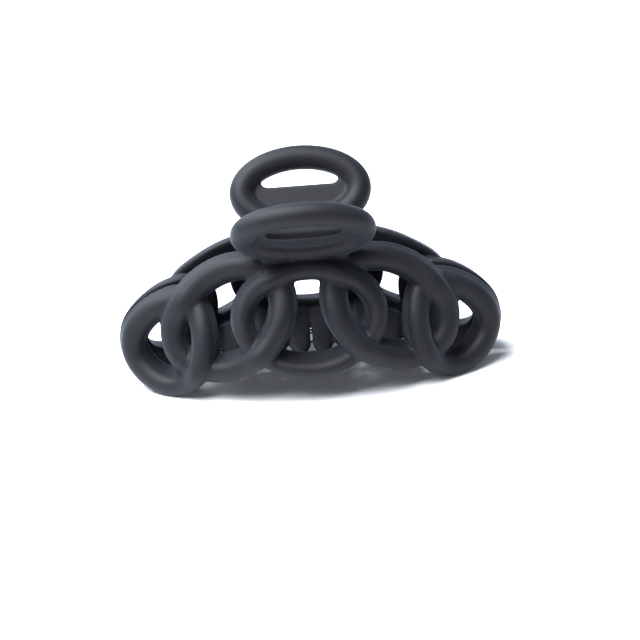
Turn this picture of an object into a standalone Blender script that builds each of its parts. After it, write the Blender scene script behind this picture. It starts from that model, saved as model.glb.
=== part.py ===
"""Claw clip: two openwork jaws of interlinked oval rings, a hinge pin and a torsion spring.

Frame: the origin is on the ground under the middle of the clip, +X along the clip,
-Y towards the front jaw, +Z up. Sizes are in millimetres until a mesh is made.
A jaw is laid out in its own terms: x along the clip, depth outwards from the parting
plane, and z up. The front jaw's depth runs along -Y and the back jaw's along +Y.
"""

import math

import bmesh
import bpy
from mathutils import Matrix, Vector

MM = 0.001

# Jaw skin: how far the crest of a link stands from the parting plane.
BULGE_LOW = 24.9
BULGE_LOW_FALL = 0.0062
BULGE_TOP_END = 6.0
BULGE_TOP_RISE = 5.8
BULGE_TOP_SPAN = 21.0
ARCH_TOP = 38.0
ARCH_TOP_FALL = 0.00018
ARCH_FOOT = 6.4
ARCH_FOOT_FALL = 0.0066
BULGE_WIDEST = 0.17

# Links: ellipse centre (x, z), half axes of the centre line, tilt of the long axis in degrees,
# egg shape (below 0 is slimmer at the long axis's far end), width of the strand.
CENTRE_LINK = (0.0, 22.0, 18.8, 12.8, 0.0, 0.0, 5.2)
SIDE_LINK = (22.7, 21.6, 17.4, 11.2, -35.5, 0.0, 6.6)
END_LINK = (38.9, 14.5, 12.3, 9.1, 121.0, -0.25, 6.2)
LINK_DEPTH_TOP = 5.2
LINK_DEPTH_LOW = 8.6
LINK_DEPTH_END_GAIN = 0.0014
LINK_CREST = 3.1
LINK_FLARE = 0.7
LINK_BACK_CHAMFER = 0.8
CROSSING_LIFT = 1.45
CROSSING_REACH = 5.0
SECTION_TURN = 0.2
SECTION_TILT = 0.2
SECTION_WIDEN_UP = 0.2
PARTING_GAP = 0.4
LINK_STEPS = 36
CREST_STEPS = 4
CROSSING_SAMPLES = 720

# Comb teeth, on the inside of the lower strands.
TOOTH_PITCH = 6.4
TOOTH_HALF_WIDTH = 3.0
TOOTH_ROOT_HALF_WIDTH = 3.4
TOOTH_ROOT_END = 0.4
TOOTH_ROOT_END_GAIN = 0.015
TOOTH_ROOT_END_MOST = 0.6
TOOTH_POINT_LENGTH = 4.0
TOOTH_TIP_HALF_WIDTH = 0.4
TOOTH_PAST_PARTING = 1.5
TOOTH_TIP_Z = 2.8
TOOTH_ROOT_INSET = 3.7
TOOTH_THICKNESS_ROOT = 2.8
TOOTH_THICKNESS_TIP = 1.4
TOOTH_STEPS = 6
TOOTH_BEND_DEPTH = 0.45
TOOTH_BEND_DROP = 1.2
FRONT_TEETH = (-4, -3, -2, -1, 0, 1, 2, 3, 4)
BACK_TEETH = (-4.5, -3.5, -2.5, -1.5, -0.5, 0.5, 1.5, 2.5, 3.5, 4.5)

# Handle: an oval ring leaning outwards, with a web across its lower half.
HANDLE_LEAN = 38.0
HANDLE_CENTRE = (14.7, 46.9)
HANDLE_HALF_LENGTH = 16.4
HANDLE_HALF_HEIGHT = 9.6
HANDLE_TUBE_R = 3.45
HANDLE_STEPS = 36
HANDLE_SIDES = 10
WEB_THICKNESS = 2.2
FINGER_HOLE_HALF_LENGTH = 10.9
FINGER_HOLE_SILL = 1.25
FINGER_HOLE_TOP = 8.2
FINGER_HOLE_CORNER_R = 2.0
FINGER_HOLE_ARCH_END = 0.55
CORNER_STEPS = 4
ARCH_STEPS = 8

# Neck between the handle and the links.
NECK_UPPER = (7.8, 39.6)
NECK_LOWER = (8.8, 35.6)
NECK_R = 2.3
NECK_HALF_LENGTH = 11.5

# Hinge.
HINGE_Z = 39.4
BARREL_R = 3.0
PIN_R = 0.95
BORE_R = 1.25
BORE_PAST_LUG = 1.5
ROUND_SIDES = 16
OUTER_LUG = (8.2, 11.0)
INNER_LUG = (5.0, 7.8)
LUG_ROOT_LOW = (8.0, 37.5)
LUG_ROOT_HIGH = (9.6, 42.5)
PIN_HEAD_R = 1.7
PIN_HEAD_LENGTH = 0.8
HEAD_GAP = 0.3

# Torsion spring.
WIRE_R = 0.5
COIL_R = 2.4
COIL_HALF_LENGTH = 3.9
COIL_TURNS = 5
COIL_STEPS_PER_TURN = 14
WIRE_SIDES = 6
LEG_CLEARANCE = 0.3
LEG_PAST_STRAND = 1.2

JAW_COLOUR = (0.028, 0.030, 0.034, 1.0)
STEEL_COLOUR = (0.55, 0.56, 0.58, 1.0)


def clear_scene():
    for scene_object in list(bpy.data.objects):
        bpy.data.objects.remove(scene_object, do_unlink=True)


def make_material(name, colour, roughness, metallic):
    material = bpy.data.materials.new(name)
    material.use_nodes = True
    shader = material.node_tree.nodes["Principled BSDF"]
    shader.inputs["Base Color"].default_value = colour
    shader.inputs["Roughness"].default_value = roughness
    shader.inputs["Metallic"].default_value = metallic
    material.diffuse_color = colour
    return material


def new_object(name, points, faces, material=None, smooth=True):
    """Make a mesh object from points in millimetres, with its faces turned outwards."""
    mesh = bpy.data.meshes.new(name)
    mesh.from_pydata([Vector(point) * MM for point in points], [], faces)
    shape = bmesh.new()
    shape.from_mesh(mesh)
    bmesh.ops.recalc_face_normals(shape, faces=shape.faces)
    shape.to_mesh(mesh)
    shape.free()
    if material:
        mesh.materials.append(material)
    if smooth:
        mesh.shade_smooth()
        mesh.set_sharp_from_angle(angle=math.radians(40))
    made = bpy.data.objects.new(name, mesh)
    bpy.context.scene.collection.objects.link(made)
    return made


def hide_tool(tool):
    tool.hide_render = True
    tool.display_type = "WIRE"


def combine(base, tool, operation):
    """Add an exact Boolean to the base object and hide its tool."""
    modifier = base.modifiers.new(tool.name, "BOOLEAN")
    modifier.operation = operation
    modifier.solver = "EXACT"
    modifier.object = tool
    hide_tool(tool)


def tube_faces(rings, sides, closed):
    """Quads between rings of points, with end caps on an open tube."""
    faces = []
    spans = rings if closed else rings - 1
    for ring in range(spans):
        here = ring * sides
        there = ((ring + 1) % rings) * sides
        for side in range(sides):
            after = (side + 1) % sides
            faces.append((here + side, here + after, there + after, there + side))
    if not closed:
        faces.append(tuple(range(sides)))
        faces.append(tuple(range((rings - 1) * sides, rings * sides)))
    return faces


def to_world(x, depth, z, facing):
    """A jaw point in the part's frame; facing is -1 on the front jaw and 1 on the back jaw."""
    return Vector((x, facing * depth, z))


# Jaw skin

def skin_height(x, z):
    """0 on the arch of the feet and 1 on the arch of the top, at this x."""
    top = ARCH_TOP - ARCH_TOP_FALL * abs(x) ** 3
    foot = ARCH_FOOT - ARCH_FOOT_FALL * x * x
    return (z - foot) / (top - foot)


def skin_depth(x, z):
    low = BULGE_LOW - BULGE_LOW_FALL * x * x
    top = BULGE_TOP_END + BULGE_TOP_RISE * math.exp(-((x / BULGE_TOP_SPAN) ** 2))
    turn = (skin_height(x, z) - BULGE_WIDEST) / (1.0 - BULGE_WIDEST)
    return top + (low - top) * math.cos(turn * math.pi / 2)


def section_axis(x, z):
    """Outward axis of a strand's section as (x, depth, z), between the skin's normal and its depth."""
    step = 0.05
    slope_x = (skin_depth(x + step, z) - skin_depth(x - step, z)) / (2 * step)
    slope_z = (skin_depth(x, z + step) - skin_depth(x, z - step)) / (2 * step)
    return Vector((-slope_x * SECTION_TURN, 1.0, -slope_z * SECTION_TILT)).normalized()


def strand_size(width, x, z):
    """Width of a strand, and how far it reaches inwards from its crest."""
    low = LINK_DEPTH_LOW + LINK_DEPTH_END_GAIN * x * x
    height = min(max(skin_height(x, z), 0.0), 1.0)
    return (width * (1.0 + SECTION_WIDEN_UP * (height - 0.5)),
            LINK_DEPTH_TOP + (low - LINK_DEPTH_TOP) * (1.0 - height))


# Links

def link_point(link, angle):
    """Point (x, z) of a link's centre line."""
    centre_x, centre_z, half_long, half_short, tilt, egg, _ = link
    along = half_long * math.cos(angle)
    across = half_short * math.sin(angle) * (1.0 + egg * math.cos(angle))
    lean = math.radians(tilt)
    x = centre_x + along * math.cos(lean) - across * math.sin(lean)
    z = centre_z + along * math.sin(lean) + across * math.cos(lean)
    return x, z


def mirrored(link):
    """The same link on the other side; its path runs the other way round."""
    centre_x, centre_z, half_long, half_short, tilt, egg, width = link
    return (-centre_x, centre_z, -half_long, half_short, -tilt, egg, width)


def link_side(link, point):
    """Below zero inside a link's centre line, above zero outside it."""
    centre_x, centre_z, half_long, half_short, tilt, egg, _ = link
    lean = math.radians(tilt)
    offset_x = point[0] - centre_x
    offset_z = point[1] - centre_z
    along = (offset_x * math.cos(lean) + offset_z * math.sin(lean)) / half_long
    across = (offset_z * math.cos(lean) - offset_x * math.sin(lean)) / half_short
    return along ** 2 + (across / (1.0 + egg * min(max(along, -1.0), 1.0))) ** 2 - 1.0


def crossings(inner, outer):
    """Upper and lower points where two neighbouring links cross."""
    found = []
    last = link_side(outer, link_point(inner, 0.0))
    for sample in range(1, CROSSING_SAMPLES + 1):
        point = link_point(inner, 2 * math.pi * sample / CROSSING_SAMPLES)
        side = link_side(outer, point)
        if (side > 0) != (last > 0):
            found.append(point)
        last = side
    found.sort(key=lambda point: point[1])
    return found[-1], found[0]


def chain():
    """The five links from left to right, each with its lifts (x, z, height) at its crossings."""
    links = [mirrored(END_LINK), mirrored(SIDE_LINK), CENTRE_LINK, SIDE_LINK, END_LINK]
    lifts = [[] for _ in links]
    for inner, outer in ((2, 1), (2, 3), (1, 0), (3, 4)):
        upper, lower = crossings(links[inner], links[outer])
        lifts[inner].append((*upper, CROSSING_LIFT))
        lifts[outer].append((*upper, -CROSSING_LIFT))
        lifts[inner].append((*lower, -CROSSING_LIFT))
        lifts[outer].append((*lower, CROSSING_LIFT))
    return list(zip(links, lifts))


def lift_at(lifts, x, z):
    """An inner link passes over at the upper crossing and under at the lower one."""
    total = 0.0
    for lift_x, lift_z, height in lifts:
        distance = math.hypot(x - lift_x, z - lift_z)
        total += height * math.exp(-((distance / CROSSING_REACH) ** 2))
    return total


def strand_section(width, reach):
    """Section of a strand as (aside, outwards): round crest at 0, flared sides, chamfered inner edges."""
    half = width / 2
    base = half + LINK_FLARE
    section = []
    for step in range(CREST_STEPS + 1):
        turn = math.pi * step / CREST_STEPS
        section.append((half * math.cos(turn), LINK_CREST * (math.sin(turn) - 1.0)))
    section.append((-base, LINK_BACK_CHAMFER - reach))
    section.append((LINK_BACK_CHAMFER - base, -reach))
    section.append((base - LINK_BACK_CHAMFER, -reach))
    section.append((base, LINK_BACK_CHAMFER - reach))
    return section


def link_piece(name, link, lifts, facing):
    """One oval link, swept along its centre line on the jaw skin."""
    points = []
    for step in range(LINK_STEPS):
        angle = 2 * math.pi * step / LINK_STEPS
        x, z = link_point(link, angle)
        ahead_x, ahead_z = link_point(link, angle + 0.01)
        out = section_axis(x, z)
        run = Vector((ahead_x, skin_depth(ahead_x, ahead_z), ahead_z))
        run -= Vector((x, skin_depth(x, z), z))
        across = run.cross(out).normalized()
        crest = Vector((x, skin_depth(x, z), z)) + out * lift_at(lifts, x, z)
        section = strand_section(*strand_size(link[6], x, z))
        for aside, outwards in section:
            point = crest + across * aside + out * outwards
            depth = max(point.y, PARTING_GAP)
            points.append(to_world(point.x, depth, max(point.z, 0.0), facing))
    return new_object(name, points, tube_faces(LINK_STEPS, len(section), closed=True))


# Teeth

def lower_strand_z(x):
    """Height of the lowest strand's centre line at this x."""
    lowest = ARCH_TOP
    for link, _ in chain():
        for step in range(360):
            point_x, point_z = link_point(link, math.radians(step))
            if abs(point_x - x) < 0.3:
                lowest = min(lowest, point_z)
    return lowest


def tooth_piece(name, x, facing):
    """One tooth, from inside the lower strand to just past the parting plane.

    The roots are wider than half the pitch, so neighbouring teeth join there."""
    root_z = lower_strand_z(x)
    root = Vector((skin_depth(x, root_z) - TOOTH_ROOT_INSET, root_z))
    tip = Vector((-TOOTH_PAST_PARTING, TOOTH_TIP_Z))
    bend = Vector((root.x * TOOTH_BEND_DEPTH, root_z - TOOTH_BEND_DROP))
    length = (tip - root).length
    root_end = min(TOOTH_ROOT_END + TOOTH_ROOT_END_GAIN * abs(x), TOOTH_ROOT_END_MOST)
    points = []
    for step in range(TOOTH_STEPS + 1):
        part = step / TOOTH_STEPS
        middle = root.lerp(bend, part).lerp(bend.lerp(tip, part), part)
        run = (bend - root).lerp(tip - bend, part).normalized()
        rise = Vector((-run.y, run.x))
        to_tip = length * (1.0 - part)
        half = TOOTH_ROOT_HALF_WIDTH if part < root_end else TOOTH_HALF_WIDTH
        if to_tip < TOOTH_POINT_LENGTH:
            half = TOOTH_TIP_HALF_WIDTH
            half += (TOOTH_HALF_WIDTH - TOOTH_TIP_HALF_WIDTH) * to_tip / TOOTH_POINT_LENGTH
        thick = TOOTH_THICKNESS_ROOT + (TOOTH_THICKNESS_TIP - TOOTH_THICKNESS_ROOT) * part
        for aside, up in ((1, 0), (0.6, 0.5), (-0.6, 0.5), (-1, 0), (-0.6, -0.5), (0.6, -0.5)):
            place = middle + rise * (up * thick)
            points.append(to_world(x + half * aside, place.x, place.y, facing))
    return new_object(name, points, tube_faces(TOOTH_STEPS + 1, 6, closed=False))


# Handle

def handle_point(x, up, out, facing):
    """A point in the handle's own plane: up the lean from its centre, and outwards from it."""
    lean = math.radians(HANDLE_LEAN)
    depth = HANDLE_CENTRE[0] + up * math.sin(lean) + out * math.cos(lean)
    z = HANDLE_CENTRE[1] + up * math.cos(lean) - out * math.sin(lean)
    return to_world(x, depth, z, facing)


def handle_ring(name, facing):
    points = []
    for step in range(HANDLE_STEPS):
        angle = 2 * math.pi * step / HANDLE_STEPS
        along = Vector((HANDLE_HALF_LENGTH * math.cos(angle), HANDLE_HALF_HEIGHT * math.sin(angle)))
        away = Vector((HANDLE_HALF_HEIGHT * math.cos(angle), HANDLE_HALF_LENGTH * math.sin(angle)))
        away.normalize()
        for side in range(HANDLE_SIDES):
            turn = 2 * math.pi * side / HANDLE_SIDES
            place = along + away * (HANDLE_TUBE_R * math.cos(turn))
            points.append(handle_point(place.x, place.y, HANDLE_TUBE_R * math.sin(turn), facing))
    return new_object(name, points, tube_faces(HANDLE_STEPS, HANDLE_SIDES, closed=True))


def extruded(name, outline, place, low, high):
    """A closed slab; place(a, b, level) puts an outline point at one of the two levels."""
    points = [place(a, b, low) for a, b in outline]
    points += [place(a, b, high) for a, b in outline]
    return new_object(name, points, tube_faces(2, len(outline), closed=False))


def finger_hole_outline():
    """D-shaped hole: a flat sill with round corners, under an arch hidden in the ring."""
    half = FINGER_HOLE_HALF_LENGTH
    radius = FINGER_HOLE_CORNER_R
    outline = []
    for step in range(CORNER_STEPS + 1):
        turn = math.pi / 2 * step / CORNER_STEPS
        outline.append((radius - half - radius * math.cos(turn),
                        FINGER_HOLE_SILL + radius - radius * math.sin(turn)))
    for x, z in reversed(list(outline)):
        outline.append((-x, z))
    arch_end = FINGER_HOLE_ARCH_END * FINGER_HOLE_TOP
    for step in range(ARCH_STEPS + 1):
        x = half * (1 - 2 * step / ARCH_STEPS)
        outline.append((x, arch_end + (FINGER_HOLE_TOP - arch_end) * math.cos(x / half * math.pi / 2)))
    return outline


def web_piece(name, facing):
    """The web: an oval plate inside the ring, with the finger hole cut out of it."""
    def place(x, up, out):
        return handle_point(x, up, out, facing)

    outline = []
    for step in range(HANDLE_STEPS):
        angle = 2 * math.pi * (step + 0.5) / HANDLE_STEPS
        outline.append((HANDLE_HALF_LENGTH * math.cos(angle), HANDLE_HALF_HEIGHT * math.sin(angle)))
    half = WEB_THICKNESS / 2
    web = extruded(name, outline, place, -half, half)
    hole = extruded(name + "_hole", finger_hole_outline(), place, -2 * half, 2 * half)
    combine(web, hole, "DIFFERENCE")
    return web


# Neck and hinge lugs

def hull_of_circles(circles, steps=8):
    """Outline round two circles (depth, z, radius), as two arcs joined by straight sides."""
    (depth_a, z_a, radius_a), (depth_b, z_b, radius_b) = circles
    heading = math.atan2(z_b - z_a, depth_b - depth_a)
    outline = []
    for step in range(steps + 1):
        turn = heading + math.pi / 2 + math.pi * step / steps
        outline.append((depth_a + radius_a * math.cos(turn), z_a + radius_a * math.sin(turn)))
    for step in range(steps + 1):
        turn = heading - math.pi / 2 + math.pi * step / steps
        outline.append((depth_b + radius_b * math.cos(turn), z_b + radius_b * math.sin(turn)))
    return outline


def side_slab(name, outline, low_x, high_x, facing):
    """A slab with its outline in (depth, z), between two values of x."""
    return extruded(name, outline, lambda depth, z, x: to_world(x, depth, z, facing), low_x, high_x)


def neck_piece(name, facing):
    outline = hull_of_circles(((*NECK_UPPER, NECK_R), (*NECK_LOWER, NECK_R)))
    return side_slab(name, outline, -NECK_HALF_LENGTH, NECK_HALF_LENGTH, facing)


def lug_pieces(name, span, facing):
    """A pair of hinge lugs, from the barrel round the pin to the foot of the handle."""
    root_z = (LUG_ROOT_LOW[1] + LUG_ROOT_HIGH[1]) / 2
    root_depth = (LUG_ROOT_LOW[0] + LUG_ROOT_HIGH[0]) / 2
    root_r = (LUG_ROOT_HIGH[1] - LUG_ROOT_LOW[1]) / 2
    outline = hull_of_circles(((0.0, HINGE_Z, BARREL_R), (root_depth, root_z, root_r)))
    near, far = span
    return [side_slab(name + "_left", outline, -far, -near, facing),
            side_slab(name + "_right", outline, near, far, facing)]


def bore_cutter(name):
    outline = []
    for step in range(ROUND_SIDES):
        turn = 2 * math.pi * step / ROUND_SIDES
        outline.append((BORE_R * math.cos(turn), HINGE_Z + BORE_R * math.sin(turn)))
    reach = OUTER_LUG[1] + BORE_PAST_LUG
    return side_slab(name, outline, -reach, reach, 1)


def jaw(name, facing, teeth, lug_span, material):
    """One jaw as a single moulding: links, teeth, handle, web, neck and hinge lugs."""
    pieces = []
    for number, (link, lifts) in enumerate(chain()):
        pieces.append(link_piece(f"{name}_link_{number}", link, lifts, facing))
    body = pieces.pop(2)
    body.name = name
    pieces.append(handle_ring(name + "_ring", facing))
    pieces.append(web_piece(name + "_web", facing))
    pieces.append(neck_piece(name + "_neck", facing))
    pieces.extend(lug_pieces(name + "_lug", lug_span, facing))
    for place in teeth:
        pieces.append(tooth_piece(f"{name}_tooth_{place}", place * TOOTH_PITCH, facing))
    for piece in pieces:
        combine(body, piece, "UNION")
    combine(body, bore_cutter(name + "_bore"), "DIFFERENCE")
    body.data.materials.append(material)
    return body


# Hinge pin

def pin_profile():
    """Half the pin's outline as (x, radius) from its left end to its right end."""
    shoulder = OUTER_LUG[1] + HEAD_GAP
    end = shoulder + PIN_HEAD_LENGTH
    dome = [(end, 0.45 * PIN_HEAD_R), (end - 0.3 * PIN_HEAD_LENGTH, 0.85 * PIN_HEAD_R)]
    half = [(shoulder, PIN_R), (shoulder, PIN_HEAD_R), dome[1], dome[0]]
    return [(-x, radius) for x, radius in reversed(half)] + half


def hinge_pin(material):
    profile = pin_profile()
    points = []
    for x, radius in profile:
        for side in range(ROUND_SIDES):
            turn = 2 * math.pi * side / ROUND_SIDES
            points.append((x, radius * math.cos(turn), HINGE_Z + radius * math.sin(turn)))
    return new_object("hinge_pin", points, tube_faces(len(profile), ROUND_SIDES, closed=False), material)


# Torsion spring

def spring_leg():
    """Where a leg leaves the coil, as a turn back from upright, and its end (depth, z).

    The leg is a straight line from the coil to the inner side of the ring's lower strand."""
    drop = math.sqrt(1.0 - (COIL_HALF_LENGTH / HANDLE_HALF_LENGTH) ** 2)
    strand = handle_point(0.0, -HANDLE_HALF_HEIGHT * drop, 0.0, 1)
    reach = Vector((strand.y, strand.z - HINGE_Z))
    rest = HANDLE_TUBE_R + WIRE_R + LEG_CLEARANCE
    turn = math.asin((rest - COIL_R) / reach.length) + math.atan2(reach.y, reach.x)
    length = math.sqrt(reach.length ** 2 - (rest - COIL_R) ** 2) + LEG_PAST_STRAND
    end = Vector((length * math.cos(turn) - COIL_R * math.sin(turn),
                  HINGE_Z + length * math.sin(turn) + COIL_R * math.cos(turn)))
    return turn, end


def spring_path():
    """Centre line of the wire: front leg, coil turns, back leg."""
    turn_back, end = spring_leg()
    sweep = 2 * math.pi * COIL_TURNS - 2 * turn_back
    steps = round(COIL_STEPS_PER_TURN * sweep / (2 * math.pi))
    path = [Vector((-COIL_HALF_LENGTH, -end.x, end.y))]
    for step in range(steps + 1):
        part = step / steps
        turn = -turn_back - sweep * part
        x = COIL_HALF_LENGTH * (2 * part - 1)
        path.append(Vector((x, -COIL_R * math.sin(turn), HINGE_Z + COIL_R * math.cos(turn))))
    path.append(Vector((COIL_HALF_LENGTH, end.x, end.y)))
    return path


def torsion_spring(material):
    path = spring_path()
    points = []
    for number, middle in enumerate(path):
        before = path[max(number - 1, 0)]
        after = path[min(number + 1, len(path) - 1)]
        run = (after - before).normalized()
        across = Vector((1.0, 0.0, 0.0))
        across = (across - run * across.dot(run)).normalized()
        third = run.cross(across)
        for side in range(WIRE_SIDES):
            turn = 2 * math.pi * side / WIRE_SIDES
            points.append(middle + across * (WIRE_R * math.cos(turn)) + third * (WIRE_R * math.sin(turn)))
    return new_object("torsion_spring", points, tube_faces(len(path), WIRE_SIDES, closed=False), material)


def turn_about_hinge(moving):
    """Parent a moving piece to an empty on the hinge's axis, without moving the piece."""
    axis = bpy.data.objects.new("jaw_hinge_axis", None)
    axis.location = (0.0, 0.0, HINGE_Z * MM)
    bpy.context.scene.collection.objects.link(axis)
    moving.parent = axis
    moving.matrix_parent_inverse = Matrix.Translation(-axis.location)


def main():
    clear_scene()
    jaw("front_jaw", -1, FRONT_TEETH, OUTER_LUG,
        make_material("front_jaw_plastic", JAW_COLOUR, 0.55, 0.0))
    back_jaw = jaw("back_jaw", 1, BACK_TEETH, INNER_LUG,
                   make_material("back_jaw_plastic", JAW_COLOUR, 0.55, 0.0))
    turn_about_hinge(back_jaw)
    hinge_pin(make_material("pin_steel", STEEL_COLOUR, 0.3, 1.0))
    torsion_spring(make_material("spring_steel", STEEL_COLOUR, 0.35, 1.0))


main()
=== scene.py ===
"""Claw clip: the finished look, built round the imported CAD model.

Sizes are in millimetres until a mesh is made. +X runs along the clip, -Y towards the front
jaw and +Z up. A jaw is laid out in its own terms: x along the clip, depth outwards from the
parting plane, and z up. The front jaw's depth runs along -Y and the back jaw's along +Y.
"""

import math

import bmesh
import bpy
from mathutils import Matrix, Vector


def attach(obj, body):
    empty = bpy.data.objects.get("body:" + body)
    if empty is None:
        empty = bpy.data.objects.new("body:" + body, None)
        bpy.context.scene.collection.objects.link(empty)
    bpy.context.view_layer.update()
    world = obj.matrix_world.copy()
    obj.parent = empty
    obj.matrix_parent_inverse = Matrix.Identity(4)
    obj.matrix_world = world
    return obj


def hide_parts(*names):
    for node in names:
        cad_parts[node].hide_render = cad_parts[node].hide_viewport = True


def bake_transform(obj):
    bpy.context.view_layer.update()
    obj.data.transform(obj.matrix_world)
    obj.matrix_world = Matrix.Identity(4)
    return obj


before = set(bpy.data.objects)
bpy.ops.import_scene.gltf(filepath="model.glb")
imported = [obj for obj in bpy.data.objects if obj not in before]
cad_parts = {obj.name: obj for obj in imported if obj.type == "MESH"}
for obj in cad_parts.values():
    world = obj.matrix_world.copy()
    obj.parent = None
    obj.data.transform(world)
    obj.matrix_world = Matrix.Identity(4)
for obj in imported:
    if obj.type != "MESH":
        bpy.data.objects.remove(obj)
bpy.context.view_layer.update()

MM = 0.001

# Jaw skin: how far the crest of a link stands from the parting plane.
BULGE_LOW = 24.9
BULGE_LOW_FALL = 0.0062
BULGE_TOP_END = 6.0
BULGE_TOP_RISE = 5.8
BULGE_TOP_SPAN = 21.0
ARCH_TOP = 38.0
ARCH_TOP_FALL = 0.00018
ARCH_FOOT = 6.4
ARCH_FOOT_FALL = 0.0066
BULGE_WIDEST = 0.17

# Links: ellipse centre (x, z), half axes of the centre line, tilt of the long axis in degrees,
# egg shape (below 0 is slimmer at the long axis's far end), width of the strand.
CENTRE_LINK = (0.0, 22.0, 18.8, 12.8, 0.0, 0.0, 5.2)
SIDE_LINK = (22.7, 21.6, 17.4, 11.2, -35.5, 0.0, 6.6)
END_LINK = (38.9, 14.5, 12.3, 9.1, 121.0, -0.25, 6.2)
LINK_DEPTH_TOP = 5.2
LINK_DEPTH_LOW = 8.6
LINK_DEPTH_END_GAIN = 0.0014
LINK_CREST = 3.1
LINK_FLARE = 0.7
LINK_BACK_R = 1.0
CROSSING_LIFT = 1.45
CROSSING_REACH = 5.0
SECTION_TURN = 0.2
SECTION_TILT = 0.2
SECTION_WIDEN_UP = 0.2
PARTING_GAP = 0.4
LINK_STEPS = 120
CREST_STEPS = 14
SIDE_STEPS = 4
EDGE_STEPS = 4
CROSSING_SAMPLES = 720
SLOPE_STEP = 0.05
ANGLE_AHEAD = 0.01

# Comb teeth, on the inside of the lower strands.
TOOTH_PITCH = 6.4
TOOTH_HALF_WIDTH = 3.0
TOOTH_ROOT_HALF_WIDTH = 3.4
TOOTH_ROOT_END = 0.4
TOOTH_ROOT_END_GAIN = 0.015
TOOTH_ROOT_END_MOST = 0.6
TOOTH_POINT_LENGTH = 4.0
TOOTH_TIP_HALF_WIDTH = 0.4
TOOTH_PAST_PARTING = 1.5
TOOTH_TIP_Z = 2.8
TOOTH_ROOT_INSET = 3.7
TOOTH_THICKNESS_ROOT = 2.8
TOOTH_THICKNESS_TIP = 1.4
TOOTH_BEND_DEPTH = 0.45
TOOTH_BEND_DROP = 1.2
TOOTH_SQUARENESS = 3.0
TOOTH_STEPS = 16
TOOTH_SIDES = 16
STRAND_SEARCH_REACH = 0.3
FRONT_TEETH = (-4, -3, -2, -1, 0, 1, 2, 3, 4)
BACK_TEETH = (-4.5, -3.5, -2.5, -1.5, -0.5, 0.5, 1.5, 2.5, 3.5, 4.5)

# Handle: an oval ring leaning outwards, with a web and a raised pad in its lower half.
HANDLE_LEAN = 38.0
HANDLE_CENTRE = (14.7, 46.9)
HANDLE_HALF_LENGTH = 16.4
HANDLE_HALF_HEIGHT = 9.6
HANDLE_TUBE_R = 3.45
HANDLE_STEPS = 120
HANDLE_SIDES = 28
WEB_THICKNESS = 2.2
PAD_HALF_LENGTH = 12.0
PAD_HALF_HEIGHT = 5.2
PAD_RISE = 2.5
PAD_SQUARENESS = 3.0
PAD_TOP = 0.9
PAD_RINGS = 24
PAD_SIDES = 64
FINGER_HOLE_HALF_LENGTH = 10.9
FINGER_HOLE_SILL = 1.25
FINGER_HOLE_TOP = 8.2
FINGER_HOLE_CORNER_R = 2.0
FINGER_HOLE_ARCH_END = 0.55
CORNER_STEPS = 8
ARCH_STEPS = 24

# Neck between the handle and the links.
NECK_UPPER = (7.8, 39.6)
NECK_LOWER = (8.8, 35.6)
NECK_R = 2.3
NECK_HALF_LENGTH = 11.5

# Hinge.
HINGE_Z = 39.4
BARREL_R = 3.0
PIN_R = 0.95
BORE_R = 1.25
BORE_PAST_LUG = 1.5
BORE_SIDES = 48
OUTER_LUG = (8.2, 11.0)
INNER_LUG = (5.0, 7.8)
LUG_ROOT_LOW = (8.0, 37.5)
LUG_ROOT_HIGH = (9.6, 42.5)
HULL_STEPS = 16
PIN_HEAD_R = 1.7
PIN_HEAD_LENGTH = 0.8
PIN_HEAD_CHAMFER = 0.1
PIN_DOME_START = 0.3
PIN_DOME_STEPS = 8
PIN_SIDES = 48
HEAD_GAP = 0.3

# Torsion spring.
WIRE_R = 0.5
COIL_R = 2.4
COIL_HALF_LENGTH = 3.9
COIL_TURNS = 5
COIL_STEPS_PER_TURN = 40
WIRE_SIDES = 12
LEG_CLEARANCE = 0.3
LEG_PAST_STRAND = 1.2

# Moulding: the pieces of a jaw are fused on a grid of this pitch and then smoothed.
FUSE_PITCH = 0.4
FUSE_SMOOTHING = 8
FUSE_SMOOTHING_FACTOR = 0.5

# Edges sharper than this many degrees stay sharp in the shading.
MOULDING_SHARP = 50.0
PIN_SHARP = 40.0
SPRING_SHARP = 50.0

# Plastic: base colours, patterns in cycles per metre, and the height of the grain in metres.
PLASTIC_DARK = (0.007, 0.007, 0.009, 1.0)
PLASTIC_LIGHT = (0.010, 0.010, 0.012, 1.0)
PLASTIC_ROUGHNESS = (0.54, 0.61)
PLASTIC_SPECULAR = 0.26
CLOUD_SCALE = 90.0
CLOUD_DETAIL = 3.0
GRAIN_SCALE = 5200.0
GRAIN_DETAIL = 2.0
GRAIN_STRENGTH = 0.12
GRAIN_HEIGHT = 0.00003
BLOOM_WEIGHT = 0.11
BLOOM_ROUGHNESS = 0.45
BLOOM_TINT = (0.60, 0.74, 1.0, 1.0)

# Steel: the same, with fine scratches.
STEEL_DARK = (0.50, 0.51, 0.53, 1.0)
STEEL_LIGHT = (0.62, 0.62, 0.63, 1.0)
STEEL_TONE_SCALE = 400.0
STEEL_DETAIL = 4.0
SCRATCH_SCALE = 6000.0
SCRATCH_STRENGTH = 0.08
SCRATCH_HEIGHT = 0.00002
SCRATCH_SMOOTHER = 0.05
SCRATCH_ROUGHER = 0.07
PIN_ROUGHNESS = 0.3
SPRING_ROUGHNESS = 0.35

# The part of a noise pattern's range that holds most of its values.
NOISE_MIDDLE = (0.3, 0.7)

# Stage, in metres: a floor that curves up into a backdrop and glows faintly.
FLOOR_HALF_WIDTH = 1.5
FLOOR_FRONT = -1.5
FLOOR_BEND_START = 0.9
FLOOR_BEND_R = 0.6
FLOOR_BEND_STEPS = 12
FLOOR_TOP = 1.6
FLOOR_COLOUR = (0.86, 0.86, 0.86, 1.0)
FLOOR_ROUGHNESS = 0.9
FLOOR_GLOW = 0.045

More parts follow.
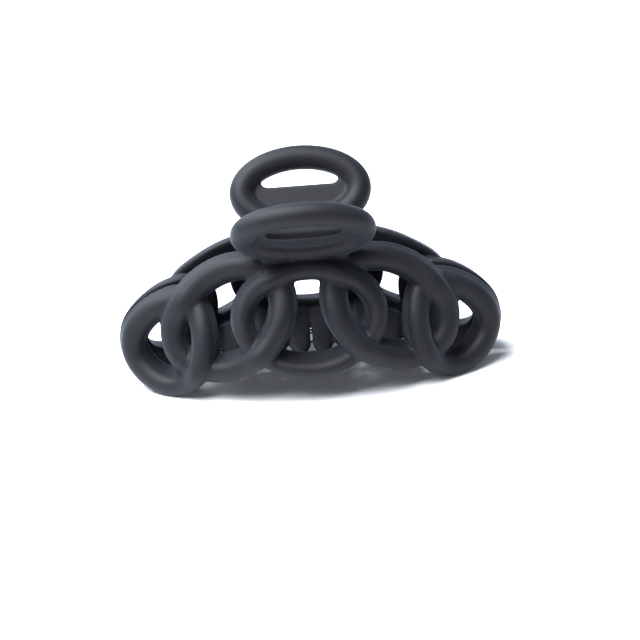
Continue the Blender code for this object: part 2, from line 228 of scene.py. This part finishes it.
# Lights: name, place and size in metres, power in watts, and colour.
LIGHT_AIM = (0.0, 0.0, 0.03)
LIGHTS = (
    ("overhead", (-0.26, -0.08, 0.62), (0.6, 0.6), 16.5, (0.91, 0.95, 1.0)),
    ("rear_left", (-0.45, 0.50, 0.40), (0.6, 0.4), 4.5, (0.70, 0.82, 1.0)),
)
SKY_COLOUR = (0.72, 0.84, 1.0, 1.0)
SKY_STRENGTH = 0.22

# Camera: a long lens, looking down on the front jaw, rolled a little.
CAMERA_ELEVATION = 25.0
CAMERA_ROLL = 4.25
CAMERA_DISTANCE = 800.0
CAMERA_FRAME_WIDTH = 177.3
CAMERA_AIM = (2.8, 12.3)
CAMERA_AIM_DEPTH = -11.7
CAMERA_SENSOR_WIDTH = 36.0
CAMERA_CLIP_START = 0.01


# Mesh helpers

def new_object(name, points, faces):
    """Make a mesh object from points in millimetres, with its faces turned outwards."""
    mesh = bpy.data.meshes.new(name)
    mesh.from_pydata([Vector(point) * MM for point in points], [], faces)
    shape = bmesh.new()
    shape.from_mesh(mesh)
    bmesh.ops.recalc_face_normals(shape, faces=shape.faces)
    shape.to_mesh(mesh)
    shape.free()
    mesh.shade_smooth()
    made = bpy.data.objects.new(name, mesh)
    bpy.context.scene.collection.objects.link(made)
    return made


def tube_faces(rings, sides, closed):
    """Quads between rings of points, with end caps on an open tube."""
    faces = []
    spans = rings if closed else rings - 1
    for ring in range(spans):
        here = ring * sides
        there = ((ring + 1) % rings) * sides
        for side in range(sides):
            after = (side + 1) % sides
            faces.append((here + side, here + after, there + after, there + side))
    if not closed:
        faces.append(tuple(range(sides)))
        faces.append(tuple(range((rings - 1) * sides, rings * sides)))
    return faces


def settle(made):
    """Replace an object's mesh with what its modifiers make of it."""
    evaluated = made.evaluated_get(bpy.context.evaluated_depsgraph_get())
    mesh = bpy.data.meshes.new_from_object(evaluated)
    made.modifiers.clear()
    made.data = mesh


def cut(base, tool):
    """Take the tool's shape out of the base and delete the tool."""
    modifier = base.modifiers.new("cut", "BOOLEAN")
    modifier.operation = "DIFFERENCE"
    modifier.solver = "EXACT"
    modifier.object = tool
    settle(base)
    bpy.data.objects.remove(tool, do_unlink=True)


def fuse(name, pieces):
    """One moulding from overlapping pieces: joined on a fine grid, with soft inside corners."""
    shape = bmesh.new()
    for piece in pieces:
        shape.from_mesh(piece.data)
    mesh = bpy.data.meshes.new(name)
    shape.to_mesh(mesh)
    shape.free()
    for piece in pieces:
        bpy.data.objects.remove(piece, do_unlink=True)
    body = bpy.data.objects.new(name, mesh)
    bpy.context.scene.collection.objects.link(body)
    remesh = body.modifiers.new("fuse", "REMESH")
    remesh.mode = "VOXEL"
    remesh.voxel_size = FUSE_PITCH * MM
    smooth = body.modifiers.new("soften", "SMOOTH")
    smooth.factor = FUSE_SMOOTHING_FACTOR
    smooth.iterations = FUSE_SMOOTHING
    settle(body)
    return body


def keep_sharp(made, degrees):
    """Keep the edges that turn more than this sharp in a smoothly shaded object."""
    made.data.set_sharp_from_angle(angle=math.radians(degrees))


def to_world(x, depth, z, facing):
    """A jaw point in the part's frame; facing is -1 on the front jaw and 1 on the back jaw."""
    return Vector((x, facing * depth, z))


def rounded(angle, power):
    """Cosine and sine of a superellipse: power 2 is round, more is squarer."""
    cosine = math.cos(angle)
    sine = math.sin(angle)
    return (math.copysign(abs(cosine) ** (2 / power), cosine),
            math.copysign(abs(sine) ** (2 / power), sine))


# Jaw skin

def skin_height(x, z):
    """0 on the arch of the feet and 1 on the arch of the top, at this x."""
    top = ARCH_TOP - ARCH_TOP_FALL * abs(x) ** 3
    foot = ARCH_FOOT - ARCH_FOOT_FALL * x * x
    return (z - foot) / (top - foot)


def skin_depth(x, z):
    """How far the jaw's skin stands from the parting plane."""
    low = BULGE_LOW - BULGE_LOW_FALL * x * x
    top = BULGE_TOP_END + BULGE_TOP_RISE * math.exp(-((x / BULGE_TOP_SPAN) ** 2))
    turn = (skin_height(x, z) - BULGE_WIDEST) / (1.0 - BULGE_WIDEST)
    return top + (low - top) * math.cos(turn * math.pi / 2)


def section_axis(x, z):
    """Outward axis of a strand's section as (x, depth, z).

    It lies between the skin's normal and the depth axis."""
    step = SLOPE_STEP
    slope_x = (skin_depth(x + step, z) - skin_depth(x - step, z)) / (2 * step)
    slope_z = (skin_depth(x, z + step) - skin_depth(x, z - step)) / (2 * step)
    return Vector((-slope_x * SECTION_TURN, 1.0, -slope_z * SECTION_TILT)).normalized()


def strand_size(width, x, z):
    """Width of a strand, and how far it reaches inwards from its crest."""
    low = LINK_DEPTH_LOW + LINK_DEPTH_END_GAIN * x * x
    height = min(max(skin_height(x, z), 0.0), 1.0)
    return (width * (1.0 + SECTION_WIDEN_UP * (height - 0.5)),
            LINK_DEPTH_TOP + (low - LINK_DEPTH_TOP) * (1.0 - height))


# Links

def link_point(link, angle):
    """Point (x, z) of a link's centre line."""
    centre_x, centre_z, half_long, half_short, tilt, egg, _ = link
    along = half_long * math.cos(angle)
    across = half_short * math.sin(angle) * (1.0 + egg * math.cos(angle))
    lean = math.radians(tilt)
    x = centre_x + along * math.cos(lean) - across * math.sin(lean)
    z = centre_z + along * math.sin(lean) + across * math.cos(lean)
    return x, z


def mirrored(link):
    """The same link on the other side; its path runs the other way round."""
    centre_x, centre_z, half_long, half_short, tilt, egg, width = link
    return (-centre_x, centre_z, -half_long, half_short, -tilt, egg, width)


def link_side(link, point):
    """Below zero inside a link's centre line, above zero outside it."""
    centre_x, centre_z, half_long, half_short, tilt, egg, _ = link
    lean = math.radians(tilt)
    offset_x = point[0] - centre_x
    offset_z = point[1] - centre_z
    along = (offset_x * math.cos(lean) + offset_z * math.sin(lean)) / half_long
    across = (offset_z * math.cos(lean) - offset_x * math.sin(lean)) / half_short
    return along ** 2 + (across / (1.0 + egg * min(max(along, -1.0), 1.0))) ** 2 - 1.0


def crossings(inner, outer):
    """Upper and lower points where two neighbouring links cross."""
    found = []
    last = link_side(outer, link_point(inner, 0.0))
    for sample in range(1, CROSSING_SAMPLES + 1):
        point = link_point(inner, 2 * math.pi * sample / CROSSING_SAMPLES)
        side = link_side(outer, point)
        if (side > 0) != (last > 0):
            found.append(point)
        last = side
    found.sort(key=lambda point: point[1])
    return found[-1], found[0]


def chain():
    """The five links from left to right, each with its lifts (x, z, height) at its crossings."""
    links = [mirrored(END_LINK), mirrored(SIDE_LINK), CENTRE_LINK, SIDE_LINK, END_LINK]
    lifts = [[] for _ in links]
    for inner, outer in ((2, 1), (2, 3), (1, 0), (3, 4)):
        upper, lower = crossings(links[inner], links[outer])
        lifts[inner].append((*upper, CROSSING_LIFT))
        lifts[outer].append((*upper, -CROSSING_LIFT))
        lifts[inner].append((*lower, -CROSSING_LIFT))
        lifts[outer].append((*lower, CROSSING_LIFT))
    return list(zip(links, lifts))


def lift_at(lifts, x, z):
    """An inner link passes over at the upper crossing and under at the lower one."""
    total = 0.0
    for lift_x, lift_z, height in lifts:
        distance = math.hypot(x - lift_x, z - lift_z)
        total += height * math.exp(-((distance / CROSSING_REACH) ** 2))
    return total


def strand_section(width, reach):
    """Section of a strand as (aside, outwards) from its crest.

    The crest is round, the sides flare inwards and the inner edges are soft."""
    half = width / 2
    base = half + LINK_FLARE - LINK_BACK_R
    section = []
    for step in range(CREST_STEPS + 1):
        turn = math.pi * step / CREST_STEPS
        section.append((half * math.cos(turn), LINK_CREST * (math.sin(turn) - 1.0)))
    side = []
    for step in range(1, SIDE_STEPS):
        part = step / SIDE_STEPS
        side.append((half + LINK_FLARE * part,
                     -LINK_CREST - (reach - LINK_BACK_R - LINK_CREST) * part))
    for step in range(EDGE_STEPS + 1):
        turn = math.pi / 2 * step / EDGE_STEPS
        side.append((base + LINK_BACK_R * math.cos(turn),
                     LINK_BACK_R * (1.0 - math.sin(turn)) - reach))
    section.extend((-aside, outwards) for aside, outwards in side)
    section.extend(reversed(side))
    return section


def link_piece(name, link, lifts, facing):
    """One oval link, swept along its centre line on the jaw skin."""
    points = []
    for step in range(LINK_STEPS):
        angle = 2 * math.pi * step / LINK_STEPS
        x, z = link_point(link, angle)
        ahead_x, ahead_z = link_point(link, angle + ANGLE_AHEAD)
        out = section_axis(x, z)
        run = Vector((ahead_x, skin_depth(ahead_x, ahead_z), ahead_z))
        run -= Vector((x, skin_depth(x, z), z))
        across = run.cross(out).normalized()
        crest = Vector((x, skin_depth(x, z), z)) + out * lift_at(lifts, x, z)
        section = strand_section(*strand_size(link[6], x, z))
        for aside, outwards in section:
            point = crest + across * aside + out * outwards
            depth = max(point.y, PARTING_GAP)
            points.append(to_world(point.x, depth, max(point.z, 0.0), facing))
    return new_object(name, points, tube_faces(LINK_STEPS, len(section), closed=True))


# Teeth

def lower_strand_z(x):
    """Height of the lowest strand's centre line at this x."""
    lowest = ARCH_TOP
    for link, _ in chain():
        for step in range(360):
            point_x, point_z = link_point(link, math.radians(step))
            if abs(point_x - x) < STRAND_SEARCH_REACH:
                lowest = min(lowest, point_z)
    return lowest


def tooth_piece(name, x, facing):
    """One tooth, from inside the lower strand to just past the parting plane.

    The roots are wider than half the pitch, so neighbouring teeth join there."""
    root_z = lower_strand_z(x)
    root = Vector((skin_depth(x, root_z) - TOOTH_ROOT_INSET, root_z))
    tip = Vector((-TOOTH_PAST_PARTING, TOOTH_TIP_Z))
    bend = Vector((root.x * TOOTH_BEND_DEPTH, root_z - TOOTH_BEND_DROP))
    length = (tip - root).length
    root_end = min(TOOTH_ROOT_END + TOOTH_ROOT_END_GAIN * abs(x), TOOTH_ROOT_END_MOST)
    points = []
    for step in range(TOOTH_STEPS + 1):
        part = step / TOOTH_STEPS
        middle = root.lerp(bend, part).lerp(bend.lerp(tip, part), part)
        run = (bend - root).lerp(tip - bend, part).normalized()
        rise = Vector((-run.y, run.x))
        to_tip = length * (1.0 - part)
        half = TOOTH_ROOT_HALF_WIDTH if part < root_end else TOOTH_HALF_WIDTH
        if to_tip < TOOTH_POINT_LENGTH:
            half = TOOTH_TIP_HALF_WIDTH
            half += (TOOTH_HALF_WIDTH - TOOTH_TIP_HALF_WIDTH) * to_tip / TOOTH_POINT_LENGTH
        thick = TOOTH_THICKNESS_ROOT + (TOOTH_THICKNESS_TIP - TOOTH_THICKNESS_ROOT) * part
        for side in range(TOOTH_SIDES):
            aside, up = rounded(2 * math.pi * side / TOOTH_SIDES, TOOTH_SQUARENESS)
            place = middle + rise * (up * thick / 2)
            points.append(to_world(x + half * aside, place.x, place.y, facing))
    return new_object(name, points, tube_faces(TOOTH_STEPS + 1, TOOTH_SIDES, closed=False))


# Handle

def handle_point(x, up, out, facing):
    """A point in the handle's own plane: up the lean from its centre, and outwards from it."""
    lean = math.radians(HANDLE_LEAN)
    depth = HANDLE_CENTRE[0] + up * math.sin(lean) + out * math.cos(lean)
    z = HANDLE_CENTRE[1] + up * math.cos(lean) - out * math.sin(lean)
    return to_world(x, depth, z, facing)


def handle_ring(name, facing):
    """The oval ring: a round tube along the handle's rim."""
    points = []
    for step in range(HANDLE_STEPS):
        angle = 2 * math.pi * step / HANDLE_STEPS
        cosine = math.cos(angle)
        sine = math.sin(angle)
        along = Vector((HANDLE_HALF_LENGTH * cosine, HANDLE_HALF_HEIGHT * sine))
        away = Vector((HANDLE_HALF_HEIGHT * cosine, HANDLE_HALF_LENGTH * sine))
        away.normalize()
        for side in range(HANDLE_SIDES):
            turn = 2 * math.pi * side / HANDLE_SIDES
            place = along + away * (HANDLE_TUBE_R * math.cos(turn))
            points.append(handle_point(place.x, place.y, HANDLE_TUBE_R * math.sin(turn), facing))
    return new_object(name, points, tube_faces(HANDLE_STEPS, HANDLE_SIDES, closed=True))


def extruded(name, outline, place, low, high):
    """A closed slab; place(a, b, level) puts an outline point at one of the two levels."""
    points = [place(a, b, low) for a, b in outline]
    points += [place(a, b, high) for a, b in outline]
    return new_object(name, points, tube_faces(2, len(outline), closed=False))


def finger_hole_outline():
    """D-shaped hole: a flat sill with round corners, under an arch hidden in the ring."""
    half = FINGER_HOLE_HALF_LENGTH
    radius = FINGER_HOLE_CORNER_R
    outline = []
    for step in range(CORNER_STEPS + 1):
        turn = math.pi / 2 * step / CORNER_STEPS
        outline.append((radius - half - radius * math.cos(turn),
                        FINGER_HOLE_SILL + radius - radius * math.sin(turn)))
    for x, up in reversed(list(outline)):
        outline.append((-x, up))
    arch_end = FINGER_HOLE_ARCH_END * FINGER_HOLE_TOP
    for step in range(ARCH_STEPS + 1):
        x = half * (1 - 2 * step / ARCH_STEPS)
        rise = (FINGER_HOLE_TOP - arch_end) * math.cos(x / half * math.pi / 2)
        outline.append((x, arch_end + rise))
    return outline


def web_piece(name, facing):
    """The web: an oval plate inside the ring, with the finger hole cut out of it."""
    def place(x, up, out):
        return handle_point(x, up, out, facing)

    outline = []
    for step in range(HANDLE_STEPS):
        angle = 2 * math.pi * (step + 0.5) / HANDLE_STEPS
        outline.append((HANDLE_HALF_LENGTH * math.cos(angle),
                        HANDLE_HALF_HEIGHT * math.sin(angle)))
    half = WEB_THICKNESS / 2
    web = extruded(name, outline, place, -half, half)
    hole = extruded(name + "_hole", finger_hole_outline(), place, -2 * half, 2 * half)
    cut(web, hole)
    return web


def pad_piece(name, facing):
    """The finger pad: a dome on the web's outer face, level along the top."""
    points = []
    for ring in range(1, PAD_RINGS):
        inwards, rise = rounded(math.pi * ring / PAD_RINGS - math.pi / 2, PAD_SQUARENESS)
        for side in range(PAD_SIDES):
            turn = 2 * math.pi * side / PAD_SIDES
            x = PAD_HALF_LENGTH * inwards * math.cos(turn)
            up = min(PAD_HALF_HEIGHT * inwards * math.sin(turn), PAD_TOP)
            points.append(handle_point(x, up, max(PAD_RISE * rise, 0.0), facing))
    return new_object(name, points, tube_faces(PAD_RINGS - 1, PAD_SIDES, closed=False))


# Neck and hinge lugs

def hull_of_circles(circles):
    """Outline round two circles (depth, z, radius), as two arcs joined by straight sides."""
    (depth_a, z_a, _), (depth_b, z_b, _) = circles
    heading = math.atan2(z_b - z_a, depth_b - depth_a)
    outline = []
    for quarter, (depth, z, radius) in zip((math.pi / 2, -math.pi / 2), circles):
        for step in range(HULL_STEPS + 1):
            turn = heading + quarter + math.pi * step / HULL_STEPS
            outline.append((depth + radius * math.cos(turn), z + radius * math.sin(turn)))
    return outline


def side_slab(name, outline, low_x, high_x, facing):
    """A slab with its outline in (depth, z), between two values of x."""
    def place(depth, z, x):
        return to_world(x, depth, z, facing)

    return extruded(name, outline, place, low_x, high_x)


def neck_piece(name, facing):
    """The neck: a rounded bar between the links' tops and the foot of the handle."""
    outline = hull_of_circles(((*NECK_UPPER, NECK_R), (*NECK_LOWER, NECK_R)))
    return side_slab(name, outline, -NECK_HALF_LENGTH, NECK_HALF_LENGTH, facing)


def lug_pieces(name, span, facing):
    """A pair of hinge lugs, from the barrel round the pin to the foot of the handle."""
    root_z = (LUG_ROOT_LOW[1] + LUG_ROOT_HIGH[1]) / 2
    root_depth = (LUG_ROOT_LOW[0] + LUG_ROOT_HIGH[0]) / 2
    root_r = (LUG_ROOT_HIGH[1] - LUG_ROOT_LOW[1]) / 2
    outline = hull_of_circles(((0.0, HINGE_Z, BARREL_R), (root_depth, root_z, root_r)))
    near, far = span
    return [side_slab(name + "_left", outline, -far, -near, facing),
            side_slab(name + "_right", outline, near, far, facing)]


def bore_cutter(name):
    """A round bar on the hinge axis, through all the lugs and past them."""
    outline = []
    for side in range(BORE_SIDES):
        turn = 2 * math.pi * side / BORE_SIDES
        outline.append((BORE_R * math.cos(turn), HINGE_Z + BORE_R * math.sin(turn)))
    reach = OUTER_LUG[1] + BORE_PAST_LUG
    return side_slab(name, outline, -reach, reach, 1)


def jaw(name, facing, teeth, lug_span):
    """One jaw as a single moulding: links, teeth, handle, web, pad, neck and hinge lugs."""
    pieces = []
    for number, (link, lifts) in enumerate(chain()):
        pieces.append(link_piece(f"{name}_link_{number}", link, lifts, facing))
    pieces.append(handle_ring(name + "_ring", facing))
    pieces.append(web_piece(name + "_web", facing))
    pieces.append(pad_piece(name + "_pad", facing))
    pieces.append(neck_piece(name + "_neck", facing))
    pieces.extend(lug_pieces(name + "_lug", lug_span, facing))
    for place in teeth:
        pieces.append(tooth_piece(f"{name}_tooth_{place}", place * TOOTH_PITCH, facing))
    body = fuse(name, pieces)
    cut(body, bore_cutter(name + "_bore"))
    body.data.shade_smooth()
    keep_sharp(body, MOULDING_SHARP)
    return body


# Hinge pin

def pin_profile():
    """The pin's outline as (x, radius), from its left end to its right end, with domed heads."""
    shoulder = OUTER_LUG[1] + HEAD_GAP
    half = [(shoulder, PIN_R),
            (shoulder, (1 - PIN_HEAD_CHAMFER) * PIN_HEAD_R),
            (shoulder + PIN_HEAD_CHAMFER * PIN_HEAD_R, PIN_HEAD_R)]
    for step in range(PIN_DOME_STEPS):
        turn = math.pi / 2 * (step + 0.5) / PIN_DOME_STEPS
        rise = PIN_DOME_START + (1 - PIN_DOME_START) * math.sin(turn)
        half.append((shoulder + PIN_HEAD_LENGTH * rise, PIN_HEAD_R * math.cos(turn)))
    return [(-x, radius) for x, radius in reversed(half)] + half


def hinge_pin(name):
    """The pin: its profile turned about the hinge axis."""
    points = []
    profile = pin_profile()
    for x, radius in profile:
        for side in range(PIN_SIDES):
            turn = 2 * math.pi * side / PIN_SIDES
            points.append((x, radius * math.cos(turn), HINGE_Z + radius * math.sin(turn)))
    made = new_object(name, points, tube_faces(len(profile), PIN_SIDES, closed=False))
    keep_sharp(made, PIN_SHARP)
    return made


# Torsion spring

def spring_leg():
    """Where a leg leaves the coil, as a turn back from upright, and its end (depth, z).

    The leg is a straight line from the coil to the inner side of the ring's lower strand."""
    drop = math.sqrt(1.0 - (COIL_HALF_LENGTH / HANDLE_HALF_LENGTH) ** 2)
    strand = handle_point(0.0, -HANDLE_HALF_HEIGHT * drop, 0.0, 1)
    reach = Vector((strand.y, strand.z - HINGE_Z))
    rest = HANDLE_TUBE_R + WIRE_R + LEG_CLEARANCE
    turn = math.asin((rest - COIL_R) / reach.length) + math.atan2(reach.y, reach.x)
    length = math.sqrt(reach.length ** 2 - (rest - COIL_R) ** 2) + LEG_PAST_STRAND
    end = Vector((length * math.cos(turn) - COIL_R * math.sin(turn),
                  HINGE_Z + length * math.sin(turn) + COIL_R * math.cos(turn)))
    return turn, end


def spring_path():
    """Centre line of the wire: front leg, coil turns, back leg."""
    turn_back, end = spring_leg()
    sweep = 2 * math.pi * COIL_TURNS - 2 * turn_back
    steps = round(COIL_STEPS_PER_TURN * sweep / (2 * math.pi))
    path = [Vector((-COIL_HALF_LENGTH, -end.x, end.y))]
    for step in range(steps + 1):
        part = step / steps
        turn = -turn_back - sweep * part
        x = COIL_HALF_LENGTH * (2 * part - 1)
        path.append(Vector((x, -COIL_R * math.sin(turn), HINGE_Z + COIL_R * math.cos(turn))))
    path.append(Vector((COIL_HALF_LENGTH, end.x, end.y)))
    return path


def torsion_spring(name):
    """The spring: round wire swept along its centre line."""
    path = spring_path()
    points = []
    for number, middle in enumerate(path):
        before = path[max(number - 1, 0)]
        after = path[min(number + 1, len(path) - 1)]
        run = (after - before).normalized()
        across = Vector((1.0, 0.0, 0.0))
        across = (across - run * across.dot(run)).normalized()
        third = run.cross(across)
        for side in range(WIRE_SIDES):
            turn = 2 * math.pi * side / WIRE_SIDES
            points.append(middle + across * (WIRE_R * math.cos(turn))
                          + third * (WIRE_R * math.sin(turn)))
    made = new_object(name, points, tube_faces(len(path), WIRE_SIDES, closed=False))
    keep_sharp(made, SPRING_SHARP)
    return made


# Materials

def add_node(material, kind, **settings):
    """A new node of this kind, with its own settings."""
    node = material.node_tree.nodes.new(kind)
    for key, value in settings.items():
        setattr(node, key, value)
    return node


def wire(material, source, target):
    """Join one node's output to another's input."""
    material.node_tree.links.new(source, target)


def noise(material, place, scale, detail):
    """A noise pattern in the object's own space, in cycles per metre."""
    node = add_node(material, "ShaderNodeTexNoise")
    node.inputs["Scale"].default_value = scale
    node.inputs["Detail"].default_value = detail
    wire(material, place, node.inputs["Vector"])
    return node.outputs["Fac"]


def spread(material, factor, low, high):
    """Map a pattern's middle range onto low to high."""
    node = add_node(material, "ShaderNodeMapRange")
    node.inputs["From Min"].default_value = NOISE_MIDDLE[0]
    node.inputs["From Max"].default_value = NOISE_MIDDLE[1]
    node.inputs["To Min"].default_value = low
    node.inputs["To Max"].default_value = high
    wire(material, factor, node.inputs["Value"])
    return node.outputs["Result"]


def two_tone(material, factor, dark, light):
    """Mix two colours by a pattern."""
    node = add_node(material, "ShaderNodeMix", data_type="RGBA")
    node.inputs["A"].default_value = dark
    node.inputs["B"].default_value = light
    wire(material, factor, node.inputs["Factor"])
    return node.outputs["Result"]


def start_material(name):
    """A new material, its shader, and a place in the object's own space."""
    material = bpy.data.materials.new(name)
    material.use_nodes = True
    shader = material.node_tree.nodes["Principled BSDF"]
    place = add_node(material, "ShaderNodeTexCoord").outputs["Object"]
    return material, shader, place


def bump(material, shader, height, strength, distance):
    """Raise the surface by a pattern, up to a distance in metres."""
    node = add_node(material, "ShaderNodeBump")
    node.inputs["Strength"].default_value = strength
    node.inputs["Distance"].default_value = distance
    wire(material, height, node.inputs["Height"])
    wire(material, node.outputs["Normal"], shader.inputs["Normal"])


def soft_touch_plastic():
    """Matte black plastic with a soft-touch coat.

    It has a cloudy tone, a fine grain and a cool bloom at the rims."""
    material, shader, place = start_material("soft_touch_plastic")
    cloud = noise(material, place, CLOUD_SCALE, CLOUD_DETAIL)
    tone = two_tone(material, spread(material, cloud, 0.0, 1.0), PLASTIC_DARK, PLASTIC_LIGHT)
    wire(material, tone, shader.inputs["Base Color"])
    grain = noise(material, place, GRAIN_SCALE, GRAIN_DETAIL)
    wire(material, spread(material, cloud, *PLASTIC_ROUGHNESS), shader.inputs["Roughness"])
    bump(material, shader, grain, GRAIN_STRENGTH, GRAIN_HEIGHT)
    shader.inputs["Specular IOR Level"].default_value = PLASTIC_SPECULAR
    shader.inputs["Sheen Weight"].default_value = BLOOM_WEIGHT
    shader.inputs["Sheen Roughness"].default_value = BLOOM_ROUGHNESS
    shader.inputs["Sheen Tint"].default_value = BLOOM_TINT
    return material


def drawn_steel(name, roughness):
    """Bright steel with fine scratches and a faint tone."""
    material, shader, place = start_material(name)
    cloud = noise(material, place, STEEL_TONE_SCALE, STEEL_DETAIL)
    tone = two_tone(material, spread(material, cloud, 0.0, 1.0), STEEL_DARK, STEEL_LIGHT)
    wire(material, tone, shader.inputs["Base Color"])
    scratches = noise(material, place, SCRATCH_SCALE, STEEL_DETAIL)
    rough = spread(material, scratches, roughness - SCRATCH_SMOOTHER, roughness + SCRATCH_ROUGHER)
    wire(material, rough, shader.inputs["Roughness"])
    bump(material, shader, scratches, SCRATCH_STRENGTH, SCRATCH_HEIGHT)
    shader.inputs["Metallic"].default_value = 1.0
    return material


def finish_with(made, material):
    """Give a piece its material."""
    made.data.materials.clear()
    made.data.materials.append(material)


# Stage

def pale_floor():
    """A wide white floor that curves up into a backdrop."""
    profile = [(FLOOR_FRONT, 0.0), (FLOOR_BEND_START, 0.0)]
    for step in range(1, FLOOR_BEND_STEPS + 1):
        turn = math.pi / 2 * step / FLOOR_BEND_STEPS
        profile.append((FLOOR_BEND_START + FLOOR_BEND_R * math.sin(turn),
                        FLOOR_BEND_R - FLOOR_BEND_R * math.cos(turn)))
    profile.append((FLOOR_BEND_START + FLOOR_BEND_R, FLOOR_TOP))
    mesh = bpy.data.meshes.new("floor")
    points = [(-FLOOR_HALF_WIDTH, y, z) for y, z in profile]
    points += [(FLOOR_HALF_WIDTH, y, z) for y, z in profile]
    count = len(profile)
    faces = [(step, step + 1, count + step + 1, count + step) for step in range(count - 1)]
    mesh.from_pydata(points, [], faces)
    mesh.shade_smooth()
    floor = bpy.data.objects.new("floor", mesh)
    bpy.context.scene.collection.objects.link(floor)
    material = bpy.data.materials.new("white_floor")
    material.use_nodes = True
    shader = material.node_tree.nodes["Principled BSDF"]
    shader.inputs["Base Color"].default_value = FLOOR_COLOUR
    shader.inputs["Roughness"].default_value = FLOOR_ROUGHNESS
    shader.inputs["Emission Color"].default_value = (1.0, 1.0, 1.0, 1.0)
    shader.inputs["Emission Strength"].default_value = FLOOR_GLOW
    mesh.materials.append(material)


def soft_light(name, place, size, power, colour):
    """A rectangular light turned towards the clip."""
    light = bpy.data.lights.new(name, "AREA")
    light.shape = "RECTANGLE"
    light.size = size[0]
    light.size_y = size[1]
    light.energy = power
    light.color = colour
    lamp = bpy.data.objects.new(name, light)
    lamp.location = place
    towards = Vector(LIGHT_AIM) - Vector(place)
    lamp.rotation_euler = towards.to_track_quat("-Z", "Y").to_euler()
    bpy.context.scene.collection.objects.link(lamp)


def studio():
    """A pale sky and soft lights."""
    world = bpy.data.worlds.new("studio")
    world.use_nodes = True
    background = world.node_tree.nodes["Background"]
    background.inputs["Color"].default_value = SKY_COLOUR
    background.inputs["Strength"].default_value = SKY_STRENGTH
    bpy.context.scene.world = world
    bpy.context.scene.view_settings.view_transform = "Standard"
    for light in LIGHTS:
        soft_light(*light)


def camera():
    """The camera, aimed at a point right of, above and in front of the origin as it sees them."""
    elevation = math.radians(CAMERA_ELEVATION)
    forward = Vector((0.0, math.cos(elevation), -math.sin(elevation)))
    right = Vector((1.0, 0.0, 0.0))
    up = right.cross(forward)
    aim_x, aim_up = CAMERA_AIM
    aim = right * aim_x + up * aim_up + forward * CAMERA_AIM_DEPTH
    place = (aim - forward * CAMERA_DISTANCE) * MM
    roll = Matrix.Rotation(math.radians(-CAMERA_ROLL), 3, "Z")
    turn = Matrix((right, up, -forward)).transposed() @ roll
    lens = bpy.data.cameras.new("camera")
    lens.sensor_width = CAMERA_SENSOR_WIDTH
    lens.lens = lens.sensor_width * CAMERA_DISTANCE / CAMERA_FRAME_WIDTH
    lens.clip_start = CAMERA_CLIP_START
    eye = bpy.data.objects.new("camera", lens)
    eye.matrix_world = Matrix.Translation(place) @ turn.to_4x4()
    bpy.context.scene.collection.objects.link(eye)
    bpy.context.scene.camera = eye


def main():
    """Set the stage, make the pieces, and say which body each rides on."""
    camera()
    studio()
    pale_floor()
    plastic = soft_touch_plastic()
    for body, facing, teeth, lugs in (("front", -1, FRONT_TEETH, OUTER_LUG),
                                      ("back", 1, BACK_TEETH, INNER_LUG)):
        moulding = jaw(body + "_moulding", facing, teeth, lugs)
        finish_with(moulding, plastic)
        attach(moulding, body)
        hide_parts(body + "_jaw")
    pin = hinge_pin("pin")
    finish_with(pin, drawn_steel("bright_pin_steel", PIN_ROUGHNESS))
    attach(pin, "front")
    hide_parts("hinge_pin")
    spring = torsion_spring("spring")
    finish_with(spring, drawn_steel("drawn_spring_steel", SPRING_ROUGHNESS))
    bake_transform(spring)
    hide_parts("torsion_spring")


main()
